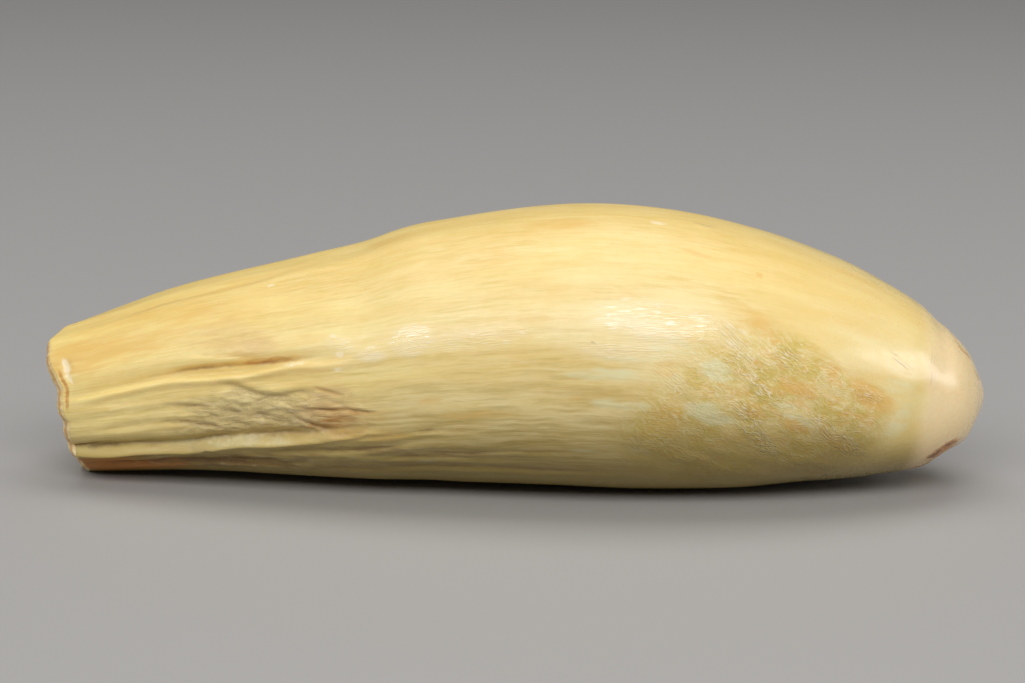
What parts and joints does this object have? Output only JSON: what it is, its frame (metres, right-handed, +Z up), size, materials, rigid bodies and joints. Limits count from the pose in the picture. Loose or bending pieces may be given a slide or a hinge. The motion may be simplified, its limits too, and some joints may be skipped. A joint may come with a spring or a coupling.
{
  "type": "sperm whale tooth",
  "caption": "Sperm whale tooth in one piece: swollen ivory body with a blunt polished tip, tapering to a grooved root with a broken rim and an open, conical pulp cavity.",
  "frame": {"origin": "middle of the tooth's length and width, on the plane that it rests on", "axes": "+X towards the crown tip, -X towards the open root, +Z up; the side seen in the picture faces -Y"},
  "size_m": [0.1706, 0.057, 0.0511],
  "materials": {
    "ivory": "satin"
  },
  "bodies": {
    "root": {"tooth": "ivory"}
  },
  "joints": []
}
